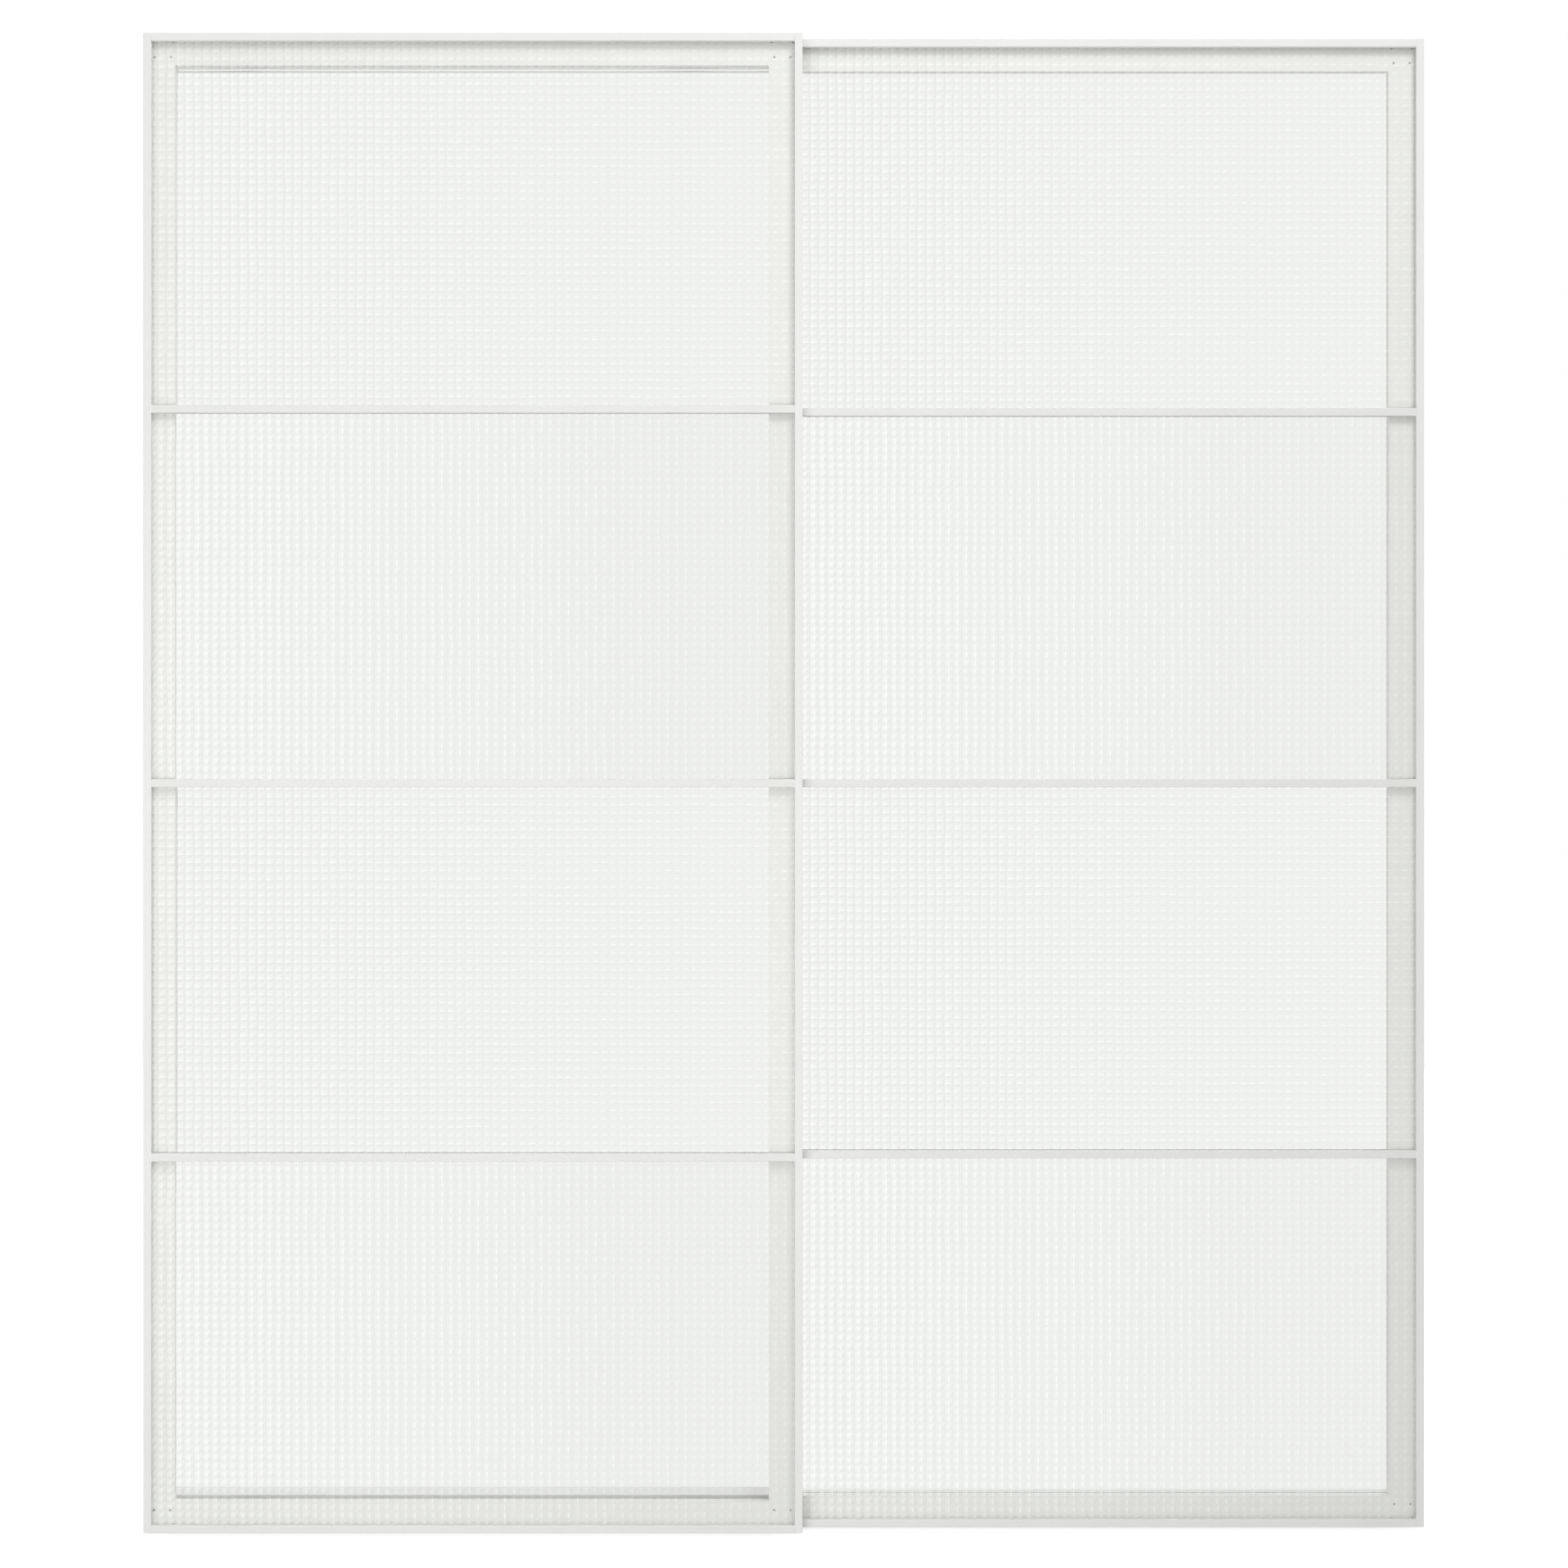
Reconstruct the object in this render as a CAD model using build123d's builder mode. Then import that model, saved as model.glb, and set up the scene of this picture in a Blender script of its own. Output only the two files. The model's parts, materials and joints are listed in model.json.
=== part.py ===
from build123d import *
import os

# Pair of sliding doors with their tracks. Two white framed doors hang one in front of the other. Each holds
# four cross-reeded glass panels between slim bars, rolls on a double top track and is kept upright by
# shoes in a double bottom track. Everything that carries the doors sits behind them.
#
# Millimetres. X is to the right seen from the front, Y is from the front to the back, Z is up.
# The origin is the middle of the top track's screw line, on the back face that bears on the carcase.

# Doors
door_width = 1015.0
door_height = 2310.0
door_overlap = 50.0
door_gap = 6.0
rear_clearance = 20.0
screw_line_drop = 1.0

# Frame profile, measured from the door's edge inwards and from its front to its back
lip_width = 12.0
lip_depth = 8.0
slot_width = 5.5
slot_floor = 5.0
left_box_width = 46.0
right_box_width = 52.0
rail_box_width = 46.0
box_depth = 16.5
frame_wall = 1.6
edge_round = 0.8
joint_slack = 0.2

# Bars between the panels
bar_height = 12.5
bar_pitch = 576.5
bar_setback = 1.0
bar_web = 1.6
bar_flange = 2.5

# Reeded panels
panel_thickness = 4.3
panel_play = 0.5
reed_width_across = 13.93
reed_width_up = 12.7
reed_height = 0.5

# Corner brackets and their screws, placed from the door's side and end, and shifted a little to the left
bracket_height = 41.5
bracket_reach = 44.0
bracket_slack = 0.3
bracket_wall = 4.0
end_screw_sides = (12.6, 45.2)
end_screw_drop = 10.0
inner_screw_sides = (16.2, 41.4)
inner_screw_drop = 33.0
screw_shift = 2.4
corner_head_radius = 1.8
corner_shank_radius = 1.1
corner_screw_length = 6.0

# Countersunk screws that hold the hangers and guides, with a hexagonal socket
fitting_head_radius = 3.5
fitting_shank_radius = 2.0
fitting_screw_length = 9.0
socket_radius = 1.6
socket_depth = 1.2
screw_slack = 0.1

# Rollers and their axles
groove_radius = 7.0
rim_radius = 8.5
roller_width = 8.0
groove_width = 3.1
groove_flare = 0.8
axle_radius = 2.5
axle_fit = 0.05
axle_shoulder = 1.0
axle_shoulder_radius = 4.0
axle_side_play = 0.2
axle_head = 0.9

# Steel hangers: a bent arm over the rear door, and a flat plate on the rear door's back
sheet = 3.0
bend_radius = 3.0
hanger_width = 80.0
hanger_inset = 160.0
hanger_drop = 45.0
arm_clearance = 3.0
drop_plate_drop = 12.0
hanger_screw_spread = 54.0
front_screw_drop = 25.0
rear_plate_top_drop = 14.0
rear_plate_height = 31.0

# Tracks, set in from the ends of the closed pair, and the holes for their screws
track_inset = 2.0
track_wall = 2.5
shelf_thickness = 2.0
track_hole_radius = 2.6
outer_hole_inset = 88.0
inner_hole_spacing = 600.0

# Top track: a wall with two runways, one above the other
runway_y = -8.0
bead_width = 2.5
bead_height = 3.0
shelf_depth = 10.5
upper_axle_drop = 3.0
lower_axle_drop = 24.5
rolling_gap = 0.3
track_crown_rise = 9.0
crown_depth = 12.0

# Bottom track: a wall with two slotted channels
channel_height = 12.0
channel_depth = 12.0
channel_lip = 3.0
lower_channel_rise = 6.0
upper_channel_rise = 30.0
bottom_track_rise = 46.0
bottom_crown_depth = 16.0
bottom_hole_rise = 18.0

# Guides that carry the shoes in the bottom track
shoe_length = 36.0
shoe_play = 0.4
neck_length = 14.0
peg_radius = 3.0
guide_width = 54.0
guide_inset = 160.0
front_guide_rise = 40.0
front_guide_screw_rise = 26.0
upturn_rise = 14.0
rear_guide_low = 16.0
rear_guide_high = 43.0
guide_screw_spread = 40.0

# Stops at the ends of the runways
stop_length = 14.0
stop_height = 11.0
stop_width = 7.0
stop_gap = 0.5
stop_slack = 0.1

# Planes that everything is set out from
door_depth = lip_depth + slot_width + box_depth
door_top = screw_line_drop
door_bottom = door_top - door_height
door_middle = (door_top + door_bottom) / 2
rear_back = -rear_clearance
rear_front = rear_back - door_depth
front_back = rear_front - door_gap
front_front = front_back - door_depth
pair_width = 2 * door_width - door_overlap
track_length = pair_width - 2 * track_inset
outer_hole_spacing = track_length - 2 * outer_hole_inset
opening_width = door_width - left_box_width - right_box_width
slot_front = lip_depth
slot_back = lip_depth + slot_width
upper_axle_z = door_top - upper_axle_drop
lower_axle_z = door_top - lower_axle_drop
lower_channel_z = door_bottom + lower_channel_rise
upper_channel_z = door_bottom + upper_channel_rise
drop_plate_back = runway_y - roller_width / 2 - axle_shoulder
rear_plate_back = rear_back + sheet
axle_end = runway_y + roller_width / 2 + axle_side_play
bar_heights = [door_middle + bar_pitch, door_middle, door_middle - bar_pitch]

faces_front = (90, 0, 0)
faces_back = (-90, 0, 0)
on_base = (Align.CENTER, Align.CENTER, Align.MIN)


def keep(name, block):
    """Label one finished piece and write its STEP file."""
    block.part.label = name
    export_step(block.part, f"parts/{name}.step")


def countersunk_screw(head_radius, shank_radius, length, socket):
    """One screw along Z with its head's face at Z = 0 and its shank below."""
    cone = head_radius - shank_radius
    with BuildPart() as screw:
        with BuildSketch(Plane.XZ):
            with BuildLine():
                Polyline(
                    (0, 0), (head_radius, 0), (shank_radius, -cone), (shank_radius, -length), (0, -length),
                    close=True,
                )
            make_face()
        revolve(axis=Axis.Z)
        if socket:
            with BuildSketch():
                RegularPolygon(socket_radius, 6)
            extrude(amount=-socket_depth, mode=Mode.SUBTRACT)
    return screw.part


corner_screw = countersunk_screw(corner_head_radius, corner_shank_radius, corner_screw_length, False)
fitting_screw = countersunk_screw(fitting_head_radius, fitting_shank_radius, fitting_screw_length, True)


def screw_group(name, screw, spots):
    """Identical screws that share one node."""
    with BuildPart() as group:
        with Locations(*spots):
            add(screw)
    keep(name, group)


def lip_section(plane):
    """Front lip and panel slot of the frame profile; the plane's X runs inwards and its Y to the back."""
    with BuildSketch(plane) as section:
        with BuildLine():
            Polyline(
                (0, 0),
                (lip_width, 0),
                (lip_width, slot_front),
                (slot_floor, slot_front),
                (slot_floor, slot_back),
                (0, slot_back),
                close=True,
            )
        make_face()
        fillet(section.vertices().group_by(Axis.Y)[0], edge_round)
    return section.sketch


def box_section(plane, width):
    """Hollow box behind the panel."""
    with BuildSketch(plane) as section:
        with Locations((width / 2, slot_back + box_depth / 2)):
            Rectangle(width, box_depth)
            Rectangle(width - 2 * frame_wall, box_depth - 2 * frame_wall, mode=Mode.SUBTRACT)
    return section.sketch


def corner_screw_spots(left, face):
    """Where the corner screws go in, from the front, at both ends of both stiles."""
    spots = []
    for sides, drop in ((end_screw_sides, end_screw_drop), (inner_screw_sides, inner_screw_drop)):
        for inset in sides:
            for x in (left + inset - screw_shift, left + door_width - inset - screw_shift):
                for z in (door_top - drop, door_bottom + drop):
                    spots.append(Location((x, face + slot_back, z), faces_front))
    return spots


def stile(name, left, face, side):
    """Full-height upright, with a window at each end where the corner bracket passes to the rail."""
    if side == "left":
        plane = Plane(origin=(left, face, door_bottom), x_dir=(1, 0, 0), z_dir=(0, 0, 1))
        width = left_box_width
        window_x = left + width - frame_wall / 2
    else:
        plane = Plane(origin=(left + door_width, face, door_top), x_dir=(-1, 0, 0), z_dir=(0, 0, -1))
        width = right_box_width
        window_x = left + door_width - width + frame_wall / 2
    window_y = face + slot_back + box_depth / 2
    window_drop = frame_wall + bracket_height / 2 + bracket_slack
    window_heights = (door_top - window_drop, door_bottom + window_drop)
    window_depth = box_depth - 2 * frame_wall
    window_height = bracket_height + 2 * bracket_slack
    shank, head = corner_shank_radius + screw_slack, corner_head_radius + screw_slack
    with BuildPart() as upright:
        extrude(lip_section(plane), amount=door_height)
        extrude(box_section(plane, width), amount=door_height)
        with Locations(*[(window_x, window_y, z) for z in window_heights]):
            Box(2 * frame_wall, window_depth, window_height, mode=Mode.SUBTRACT)
        with Locations(*corner_screw_spots(left, face)):
            CounterSinkHole(shank, head, 2 * frame_wall)
    keep(name, upright)


def rail(name, left, face, end):
    """Top or bottom rail; its lip runs on to the stiles' lips and its box stops at their boxes."""
    if end == "top":
        plane = Plane(origin=(left, face, door_top), x_dir=(0, 0, -1), z_dir=(1, 0, 0))
        plug_z = door_top - slot_floor / 2
        box_start = left_box_width
        screws = front_hanger_screws(left) if face == front_front else rear_hanger_screws(left)
    else:
        plane = Plane(origin=(left + door_width, face, door_bottom), x_dir=(0, 0, 1), z_dir=(-1, 0, 0))
        plug_z = door_bottom + slot_floor / 2
        box_start = right_box_width
        screws = front_guide_screws(left) if face == front_front else rear_guide_screws(left)
    plug_reach = (slot_floor + joint_slack + lip_width) / 2
    plug_places = [(left + plug_reach, plug_z), (left + door_width - plug_reach, plug_z)]
    plug_y = face + (slot_front + slot_back) / 2
    back = face + door_depth
    with BuildPart() as member:
        extrude(lip_section(plane.offset(lip_width)), amount=door_width - 2 * lip_width)
        extrude(box_section(plane.offset(box_start), rail_box_width), amount=opening_width)
        with Locations(*[(x, plug_y, z) for x, z in plug_places]):
            Box(lip_width - slot_floor - joint_slack, slot_width - 2 * joint_slack, slot_floor)
        with Locations(*[Location((x, back, z), faces_back) for x, z in screws]):
            Hole(fitting_shank_radius + screw_slack, 2 * frame_wall)
    keep(name, member)


def bar(name, left, face, z):
    """H-shaped bar between two panels; its web runs on into the stiles' slots."""
    with BuildPart() as member:
        with BuildSketch(Plane.YZ.offset(left + lip_width)) as front:
            with Locations((face + (bar_setback + slot_front) / 2, z)):
                Rectangle(slot_front - bar_setback, bar_height)
            fillet(front.vertices().group_by(Axis.X)[0], edge_round)
        extrude(amount=door_width - 2 * lip_width)
        with BuildSketch(Plane.YZ.offset(left + slot_floor + joint_slack)):
            with Locations((face + (slot_front + slot_back) / 2, z)):
                Rectangle(slot_width, bar_web)
        extrude(amount=door_width - 2 * (slot_floor + joint_slack))
        with BuildSketch(Plane.YZ.offset(left + left_box_width)):
            with Locations((face + slot_back + bar_flange / 2, z)):
                Rectangle(bar_flange, bar_height)
        extrude(amount=opening_width)
    keep(name, member)


def reed_points(low, high, wanted, crest, valley):
    """Start, crest and end of each reed along a length, as many whole reeds as fit best."""
    count = max(1, round((high - low) / wanted))
    step = (high - low) / count
    return [
        ((low + i * step, valley), (low + (i + 0.5) * step, crest), (low + (i + 1) * step, valley))
        for i in range(count)
    ]


def reeded_panel(name, left, face, low, high, upright_in_front):
    """Glass with rounded reeds on both faces: upright ones on one face and level ones on the other."""
    x_low = left + slot_floor + panel_play
    x_high = left + door_width - slot_floor - panel_play
    front = face + (slot_front + slot_back - panel_thickness) / 2
    back = front + panel_thickness
    near = (front, front + reed_height, back)
    far = (back, back - reed_height, front)
    upright_crest, upright_valley, upright_flat = near if upright_in_front else far
    level_crest, level_valley, level_flat = far if upright_in_front else near
    with BuildPart() as panel:
        with BuildSketch(Plane.XY.offset(low)):
            with BuildLine():
                for reed in reed_points(x_low, x_high, reed_width_across, upright_crest, upright_valley):
                    ThreePointArc(*reed)
                Polyline(
                    (x_high, upright_valley), (x_high, upright_flat), (x_low, upright_flat),
                    (x_low, upright_valley),
                )
            make_face()
        extrude(amount=high - low)
        with BuildSketch(Plane.YZ.offset(x_low)):
            with BuildLine():
                for reed in reed_points(low, high, reed_width_up, level_crest, level_valley):
                    ThreePointArc(*[(depth, height) for height, depth in reed])
                Polyline((level_valley, high), (level_flat, high), (level_flat, low), (level_valley, low))
            make_face()
        extrude(amount=x_high - x_low, mode=Mode.INTERSECT)
    keep(name, panel)


def corner_bracket(name, left, face, side, end):
    """Cast bracket with one half in the stile's box and the other in the rail's, pocketed from the back."""
    inward = 1 if side == "left" else -1
    edge = left if side == "left" else left + door_width
    down = -1 if end == "top" else 1
    level = door_top if end == "top" else door_bottom
    near_end = frame_wall + bracket_slack
    far_end = (left_box_width if side == "left" else right_box_width) + bracket_reach
    arm = bracket_reach + frame_wall + bracket_slack
    depth = box_depth - 2 * (frame_wall + bracket_slack)
    middle_y = face + slot_back + box_depth / 2
    middle_z = level + down * (frame_wall + bracket_slack + bracket_height / 2)
    pocket_depth = depth - bracket_wall
    pocket_y = middle_y + bracket_wall / 2
    with BuildPart() as bracket:
        with Locations((edge + inward * (near_end + far_end) / 2, middle_y, middle_z)):
            Box(far_end - near_end, depth, bracket_height)
        with Locations((edge + inward * (far_end - arm / 2), pocket_y, middle_z)):
            Box(arm - 2 * bracket_wall, pocket_depth, bracket_height - 2 * bracket_wall, mode=Mode.SUBTRACT)
        with Locations(*corner_screw_spots(left, face)):
            Hole(corner_shank_radius + screw_slack, corner_screw_length + 1)
    keep(name, bracket)


def front_hanger_screws(left):
    """Screw places, as X and Z, of the two hangers on the front door."""
    return [
        (left + inset + offset, door_top - front_screw_drop)
        for inset in (hanger_inset, door_width - hanger_inset)
        for offset in (-hanger_screw_spread / 2, hanger_screw_spread / 2)
    ]


def rear_hanger_screws(left):
    """Screw places of the two hanger plates on the rear door."""
    return [
        (left + inset + offset, lower_axle_z)
        for inset in (hanger_inset, door_width - hanger_inset)
        for offset in (-hanger_screw_spread / 2, hanger_screw_spread / 2)
    ]


def front_guide_screws(left):
    """Screw places of the two guide arms on the front door."""
    return [
        (left + inset + offset, door_bottom + front_guide_screw_rise)
        for inset in (guide_inset, door_width - guide_inset)
        for offset in (-guide_screw_spread / 2, guide_screw_spread / 2)
    ]


def rear_guide_screws(left):
    """Screw places of the two guide plates on the rear door."""
    return [
        (left + inset + offset, upper_channel_z)
        for inset in (guide_inset, door_width - guide_inset)
        for offset in (-guide_screw_spread / 2, guide_screw_spread / 2)
    ]


def bent_arm(name, middle_x, width, outline, screws, plate_back, pin_x_z, pin_radius):
    """Arm bent from sheet along an outline of Y and Z points, with countersunk holes and one pin hole."""
    with BuildPart() as arm:
        with BuildSketch(Plane.YZ.offset(middle_x - width / 2)):
            with BuildLine():
                FilletPolyline(*outline, radius=bend_radius)
            trace(line_width=sheet)
        extrude(amount=width)
        with Locations(*[Location((x, plate_back, z), faces_back) for x, z in screws]):
            CounterSinkHole(fitting_shank_radius + screw_slack, fitting_head_radius + screw_slack, 2 * sheet)
        with Locations(Location((pin_x_z[0], drop_plate_back, pin_x_z[1]), faces_back)):
            Hole(pin_radius, 2 * sheet)
    keep(name, arm)


def flat_plate(name, middle_x, width, low, high, screws, pin_z, pin_radius):
    """Flat plate on the rear door's back, with rounded corners, countersunk holes and one pin hole."""
    with BuildPart() as plate:
        with BuildSketch(Plane.XZ.offset(-rear_plate_back)):
            with Locations((middle_x, (low + high) / 2)):
                RectangleRounded(width, high - low, bend_radius)
        extrude(amount=sheet)
        with Locations(*[Location((x, rear_plate_back, z), faces_back) for x, z in screws]):
            CounterSinkHole(fitting_shank_radius + screw_slack, fitting_head_radius + screw_slack, 2 * sheet)
        with Locations(Location((middle_x, rear_plate_back, pin_z), faces_back)):
            Hole(pin_radius, 2 * sheet)
    keep(name, plate)


def axles(name, places, z, plate_back):
    """Riveted axles: a stem through the plate and the roller, a shoulder before it and a head behind it."""
    shoulder = runway_y - roller_width / 2 - axle_side_play - plate_back
    with BuildPart() as pair:
        for x in places:
            with Locations(Location((x, plate_back - sheet, z), faces_back)):
                Cylinder(axle_radius, axle_end - plate_back + sheet, align=on_base)
            with Locations(Location((x, plate_back, z), faces_back)):
                Cylinder(axle_shoulder_radius, shoulder, align=on_base)
            with Locations(Location((x, axle_end, z), faces_back)):
                Cylinder(axle_shoulder_radius, axle_head, align=on_base)
    keep(name, pair)


def roller(name, x, z):
    """Grooved nylon roller that straddles the runway's bead."""
    half = roller_width / 2
    bore = axle_radius + axle_fit
    with BuildPart() as wheel:
        with BuildSketch(Plane(origin=(x, runway_y, z), x_dir=(0, 1, 0), z_dir=(1, 0, 0))):
            with BuildLine():
                Polyline(
                    (-half, bore),
                    (-half, rim_radius),
                    (-groove_width / 2 - groove_flare, rim_radius),
                    (-groove_width / 2, groove_radius),
                    (groove_width / 2, groove_radius),
                    (groove_width / 2 + groove_flare, rim_radius),
                    (half, rim_radius),
                    (half, bore),
                    close=True,
                )
            make_face()
        revolve(axis=Axis((x, runway_y, z), (0, 1, 0)))
    keep(name, wheel)


def shoe(name, x, z, plate_back):
    """Nylon shoe: a pad held in the channel, a neck through its slit and a peg through the plate."""
    pad_front = -channel_depth + track_wall + shoe_play
    pad_back = -track_wall - shoe_play
    neck_height = channel_height - 2 * channel_lip - 2 * shoe_play
    with BuildPart() as slider:
        with Locations((x, (pad_front + pad_back) / 2, z)):
            Box(shoe_length, pad_back - pad_front, channel_height - 2 * shoe_play)
        with Locations((x, (plate_back + pad_front) / 2, z)):
            Box(neck_length, pad_front - plate_back, neck_height)
        with Locations(Location((x, plate_back - sheet, z), faces_back)):
            Cylinder(peg_radius - screw_slack, sheet, align=on_base)
    keep(name, slider)


def door(name, left, face):
    """Frame, bars, panels and fasteners that both doors share."""
    stile(f"{name}_left_stile", left, face, "left")
    stile(f"{name}_right_stile", left, face, "right")
    rail(f"{name}_top_rail", left, face, "top")
    rail(f"{name}_bottom_rail", left, face, "bottom")
    for number, z in enumerate(bar_heights, start=1):
        bar(f"{name}_bar_{number}", left, face, z)
    seats = [door_top - slot_floor] + bar_heights + [door_bottom + slot_floor]
    for number in range(1, len(seats)):
        above = 0 if number == 1 else bar_web / 2
        below = 0 if number == len(seats) - 1 else bar_web / 2
        high = seats[number - 1] - above - panel_play
        low = seats[number] + below + panel_play
        reeded_panel(f"{name}_panel_{number}", left, face, low, high, number % 2 == 0)
    for end in ("top", "bottom"):
        for side in ("left", "right"):
            corner_bracket(f"{name}_{end}_{side}_bracket", left, face, side, end)
    screw_group(f"{name}_corner_screws", corner_screw, corner_screw_spots(left, face))


def front_fittings(left):
    """Hangers that reach over the rear door to the upper runway, and arms that reach under it."""
    plate_y = front_back + sheet / 2
    drop_y = drop_plate_back - sheet / 2
    over_z = door_top + arm_clearance + sheet / 2
    under_z = door_bottom - arm_clearance - sheet / 2
    over = (
        (plate_y, door_top - hanger_drop),
        (plate_y, over_z),
        (drop_y, over_z),
        (drop_y, door_top - drop_plate_drop),
    )
    under = (
        (plate_y, door_bottom + front_guide_rise),
        (plate_y, under_z),
        (drop_y, under_z),
        (drop_y, door_bottom + upturn_rise),
    )
    hanger_places = (left + hanger_inset, left + door_width - hanger_inset)
    guide_places = (left + guide_inset, left + door_width - guide_inset)
    hanger_screws = front_hanger_screws(left)
    guide_screws = front_guide_screws(left)
    for side, x in zip(("left", "right"), hanger_places):
        bent_arm(
            f"front_{side}_hanger", x, hanger_width, over, hanger_screws, front_back + sheet,
            (x, upper_axle_z), axle_radius,
        )
        roller(f"front_{side}_roller", x, upper_axle_z)
    for side, x in zip(("left", "right"), guide_places):
        bent_arm(
            f"front_{side}_guide", x, guide_width, under, guide_screws, front_back + sheet,
            (x, lower_channel_z), peg_radius,
        )
        shoe(f"front_{side}_shoe", x, lower_channel_z, drop_plate_back)
    axles("front_roller_axles", hanger_places, upper_axle_z, drop_plate_back)
    spots = [Location((x, front_back + sheet, z), faces_back) for x, z in hanger_screws + guide_screws]
    screw_group("front_fitting_screws", fitting_screw, spots)


def rear_fittings(left):
    """Plates on the rear door's back: rollers for the lower runway and shoes for the upper channel."""
    hanger_places = (left + hanger_inset, left + door_width - hanger_inset)
    guide_places = (left + guide_inset, left + door_width - guide_inset)
    hanger_screws = rear_hanger_screws(left)
    guide_screws = rear_guide_screws(left)
    plate_top = door_top - rear_plate_top_drop
    for side, x in zip(("left", "right"), hanger_places):
        flat_plate(
            f"rear_{side}_hanger", x, hanger_width, plate_top - rear_plate_height, plate_top, hanger_screws,
            lower_axle_z, axle_radius,
        )
        roller(f"rear_{side}_roller", x, lower_axle_z)
    for side, x in zip(("left", "right"), guide_places):
        flat_plate(
            f"rear_{side}_guide", x, guide_width, door_bottom + rear_guide_low, door_bottom + rear_guide_high,
            guide_screws, upper_channel_z, peg_radius,
        )
        shoe(f"rear_{side}_shoe", x, upper_channel_z, rear_plate_back)
    axles("rear_roller_axles", hanger_places, lower_axle_z, rear_plate_back)
    spots = [Location((x, rear_plate_back, z), faces_back) for x, z in hanger_screws + guide_screws]
    screw_group("rear_fitting_screws", fitting_screw, spots)


def track_holes(z):
    """Countersunk holes for the screws into the carcase, in line along the track's wall."""
    return [
        Location((side * spacing / 2, -track_wall, z), faces_front)
        for spacing in (outer_hole_spacing, inner_hole_spacing)
        for side in (-1, 1)
    ]


def top_track():
    """Extruded wall with two shelves, a rounded bead along each, and a crown over the upper rollers."""
    corner = (Align.MAX, Align.MAX)
    foot = lower_axle_z - groove_radius - rolling_gap - bead_height - shelf_thickness
    bead_stem = bead_height - bead_width / 2 + shelf_thickness / 2
    with BuildPart() as track:
        with BuildSketch(Plane.YZ.offset(-track_length / 2)):
            with Locations((0, door_top + track_crown_rise)):
                Rectangle(track_wall, door_top + track_crown_rise - foot, align=corner)
                Rectangle(crown_depth, shelf_thickness, align=corner)
            for axle_z in (upper_axle_z, lower_axle_z):
                bead_top = axle_z - groove_radius - rolling_gap
                with Locations((0, bead_top - bead_height)):
                    Rectangle(shelf_depth, shelf_thickness, align=corner)
                with Locations((runway_y, bead_top - bead_width / 2)):
                    Circle(bead_width / 2)
                    Rectangle(bead_width, bead_stem, align=(Align.CENTER, Align.MAX))
        extrude(amount=track_length)
        with Locations(*track_holes(0)):
            CounterSinkHole(track_hole_radius, fitting_head_radius + screw_slack, 2 * track_wall)
    keep("top_track", track)


def bottom_track():
    """Extruded wall with two channels, each closed at the front to a slit, and a crown above them."""
    corner = (Align.MAX, Align.MAX)
    slit = channel_height - 2 * channel_lip
    foot = lower_channel_z - channel_height / 2 - shelf_thickness
    crown = door_bottom + bottom_track_rise
    outer = channel_height + 2 * shelf_thickness
    with BuildPart() as track:
        with BuildSketch(Plane.YZ.offset(-track_length / 2)):
            with Locations((0, crown)):
                Rectangle(track_wall, crown - foot, align=corner)
                Rectangle(bottom_crown_depth, shelf_thickness, align=corner)
            for z in (lower_channel_z, upper_channel_z):
                with Locations((0, z + outer / 2)):
                    Rectangle(channel_depth, outer, align=corner)
                with Locations((-track_wall, z)):
                    Rectangle(
                        channel_depth - 2 * track_wall, channel_height, align=(Align.MAX, Align.CENTER),
                        mode=Mode.SUBTRACT,
                    )
                    Rectangle(channel_depth, slit, align=(Align.MAX, Align.CENTER), mode=Mode.SUBTRACT)
        extrude(amount=track_length)
        with Locations(*track_holes(door_bottom + bottom_hole_rise)):
            CounterSinkHole(track_hole_radius, fitting_head_radius + screw_slack, 2 * track_wall)
    keep("bottom_track", track)


def stop(name, side, axle_z):
    """Rubber block pressed over the bead, where it meets the outermost roller."""
    shelf_top = axle_z - groove_radius - rolling_gap - bead_height
    x = side * (pair_width / 2 - hanger_inset + rim_radius + stop_gap + stop_length / 2)
    with BuildPart() as block:
        with BuildSketch(Plane.YZ.offset(x - stop_length / 2)):
            with Locations((runway_y, shelf_top)):
                Rectangle(stop_width, stop_height, align=(Align.CENTER, Align.MIN))
                Rectangle(
                    bead_width + 2 * stop_slack, bead_height + stop_slack, align=(Align.CENTER, Align.MIN),
                    mode=Mode.SUBTRACT,
                )
        extrude(amount=stop_length)
    keep(name, block)


os.makedirs("parts", exist_ok=True)
front_left = -pair_width / 2
rear_left = pair_width / 2 - door_width
door("front", front_left, front_front)
door("rear", rear_left, rear_front)
front_fittings(front_left)
rear_fittings(rear_left)
top_track()
bottom_track()
for level, axle_z in (("upper", upper_axle_z), ("lower", lower_axle_z)):
    stop(f"{level}_left_stop", -1, axle_z)
    stop(f"{level}_right_stop", 1, axle_z)
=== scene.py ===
# %% [markdown]
# # A pair of framed sliding doors
# The doors arrive as finished solids in one fixed frame: metres, X to the right, Y away from the
# viewer and Z up. This lesson leaves the metal parts as they are, gives every one of them its
# finish, and replaces the eight plain panels by cross-reeded glass.

# %% Load the frame
import json

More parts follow.
